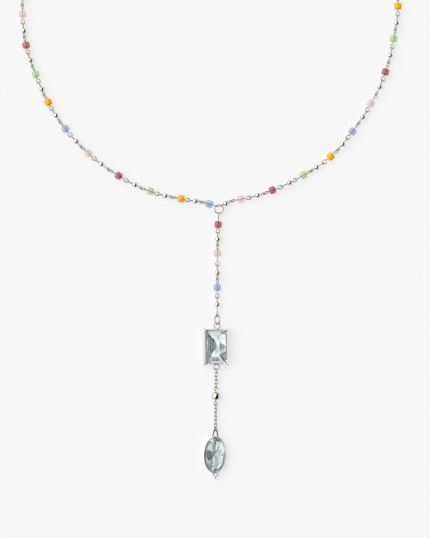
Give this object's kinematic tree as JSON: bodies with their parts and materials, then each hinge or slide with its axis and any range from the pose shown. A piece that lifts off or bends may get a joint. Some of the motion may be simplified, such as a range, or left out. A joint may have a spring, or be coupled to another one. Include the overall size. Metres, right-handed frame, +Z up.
{
  "type": "y necklace",
  "caption": "Y necklace lying flat: a loop of coloured glass beads and silver balls on eyed wires, with a drop carrying a rectangular and an oval crystal.",
  "frame": {"origin": "centre of the rectangular setting's flat back, on the surface that the necklace lies on", "axes": "+X to the wearer's left as seen from the front, +Y from the drop towards the clasp at the back of the neck, +Z up from the surface through the stones' tables"},
  "size_m": [0.1376, 0.2375, 0.0042],
  "materials": {
    "silver": "polished rhodium plate",
    "glass_pink": "clear pale rose glass",
    "glass_plum": "clear plum glass",
    "glass_green": "clear pale green glass",
    "glass_amber": "amber glass",
    "glass_blue": "clear sky blue glass",
    "crystal": "polished faceted crystal"
  },
  "bodies": {
    "root": {"neck_beads_pink": "glass_pink", "neck_beads_plum": "glass_plum", "neck_beads_green": "glass_green", "neck_beads_amber": "glass_amber", "neck_beads_blue": "glass_blue", "neck_balls": "silver", "neck_bead_wires": "silver", "neck_ball_wires": "silver", "clasp": "silver", "join_ring": "silver", "drop_bead_plum": "glass_plum", "drop_bead_pink": "glass_pink", "drop_bead_blue": "glass_blue", "drop_ball_1": "silver", "drop_ball_2": "silver", "drop_ball_3": "silver", "drop_wire_1": "silver", "drop_wire_2": "silver", "drop_wire_3": "silver", "drop_wire_4": "silver", "drop_wire_5": "silver", "drop_wire_6": "silver", "upper_ring": "silver", "rect_setting": "silver", "rect_stone": "crystal", "upper_chain": "silver", "big_ball": "silver", "big_ball_wire": "silver", "lower_chain": "silver", "small_ring": "silver", "oval_setting": "silver", "oval_stone": "crystal"}
  },
  "joints": []
}
